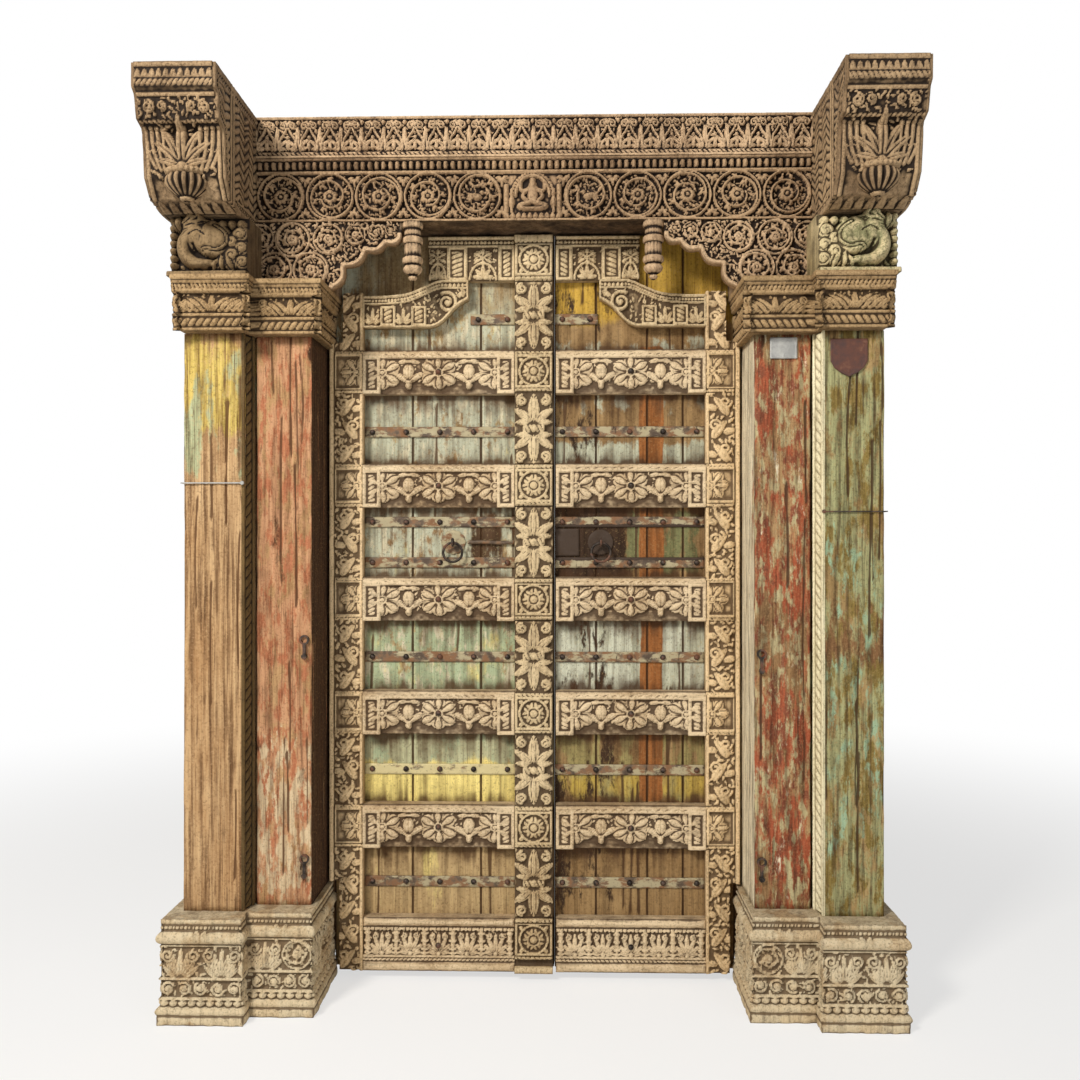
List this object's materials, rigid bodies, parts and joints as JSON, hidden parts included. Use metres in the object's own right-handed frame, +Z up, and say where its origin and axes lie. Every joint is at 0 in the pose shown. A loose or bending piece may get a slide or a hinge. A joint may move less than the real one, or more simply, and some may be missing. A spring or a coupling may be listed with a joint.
{
  "type": "carved temple door",
  "caption": "Carved wooden double door in its frame, with plinths, pilasters, bracket capitals and a carved lintel; two pivot-hung leaves with carved rails, iron straps and pull rings.",
  "frame": {"origin": "middle of the frame's box on the floor", "axes": "+Z up, -Y out of the front of the door, +X to the viewer's right"},
  "size_m": [1.93, 0.545, 2.4],
  "materials": {
    "bleached_carving": "weathered, pale",
    "green_painted_wood": "worn green and yellow paint",
    "red_painted_wood": "worn red paint",
    "painted_planks": "flaking pale green paint",
    "plain_wood": "rough sawn",
    "old_iron": "rusted",
    "pale_metal": "dull",
    "brown_plate": "matt brown",
    "dark_carving": "weathered, dark in the recesses",
    "carved_wood": "weathered"
  },
  "bodies": {
    "frame": {"plinth_left": "bleached_carving", "plinth_right": "bleached_carving", "outer_pilaster_left": "carved_wood", "outer_pilaster_right": "green_painted_wood", "inner_jamb_left": "red_painted_wood", "inner_jamb_right": "red_painted_wood", "capital_left": "carved_wood", "capital_right": "carved_wood", "lower_bracket_left": "dark_carving", "lower_bracket_right": "green_painted_wood", "upper_bracket_left": "dark_carving", "upper_bracket_right": "dark_carving", "frieze_beam": "dark_carving", "scroll_lintel": "dark_carving", "spandrel_left": "dark_carving", "spandrel_right": "dark_carving", "pendant_left": "dark_carving", "pendant_right": "dark_carving", "head_rail": "plain_wood", "pivot_cup_left": "old_iron", "pivot_cup_right": "old_iron", "tag_plate": "pale_metal", "shield_plate": "brown_plate", "wire_tie_left": "pale_metal", "wire_tie_right": "old_iron", "jamb_eyes_left": "old_iron", "jamb_eyes_right": "old_iron"},
    "left_leaf": {"hinge_post_left": "plain_wood", "planks_left": "painted_planks", "hinge_stile_left": "carved_wood", "meeting_bar": "carved_wood", "top_rail_left": "carved_wood", "corner_piece_left": "carved_wood", "rail_left_1": "carved_wood", "rail_left_2": "carved_wood", "rail_left_3": "carved_wood", "rail_left_4": "carved_wood", "rail_left_5": "carved_wood", "bottom_rail_left": "carved_wood", "straps_left": "old_iron", "nails_left": "old_iron", "ring_plate_left": "old_iron", "ring_eye_left": "old_iron"},
    "right_leaf": {"hinge_post_right": "plain_wood", "planks_right": "painted_planks", "hinge_stile_right": "carved_wood", "top_rail_right": "carved_wood", "corner_piece_right": "carved_wood", "rail_right_1": "carved_wood", "rail_right_2": "carved_wood", "rail_right_3": "carved_wood", "rail_right_4": "carved_wood", "rail_right_5": "carved_wood", "bottom_rail_right": "carved_wood", "straps_right": "old_iron", "nails_right": "old_iron", "ring_plate_right": "old_iron", "ring_eye_right": "old_iron"},
    "left_ring": {"ring_left": "old_iron"},
    "right_ring": {"ring_right": "old_iron"}
  },
  "joints": [
    {"name": "left_leaf_swing", "type": "hinge", "parent": "frame", "child": "left_leaf", "pos_m": [-0.6022, 0.2275, 1], "axis": [0, 0, 1], "range_deg": [0, 95]},
    {"name": "right_leaf_swing", "type": "hinge", "parent": "frame", "child": "right_leaf", "pos_m": [0.6022, 0.2275, 1], "axis": [0, 0, -1], "range_deg": [0, 95]},
    {"name": "left_ring_swing", "type": "hinge", "parent": "left_leaf", "child": "left_ring", "pos_m": [-0.23112, 0.1835, 1.24], "axis": [-1, 0, 0], "range_deg": [-6, 100]},
    {"name": "right_ring_swing", "type": "hinge", "parent": "right_leaf", "child": "right_ring", "pos_m": [0.19018, 0.1835, 1.24], "axis": [-1, 0, 0], "range_deg": [-6, 100]}
  ]
}
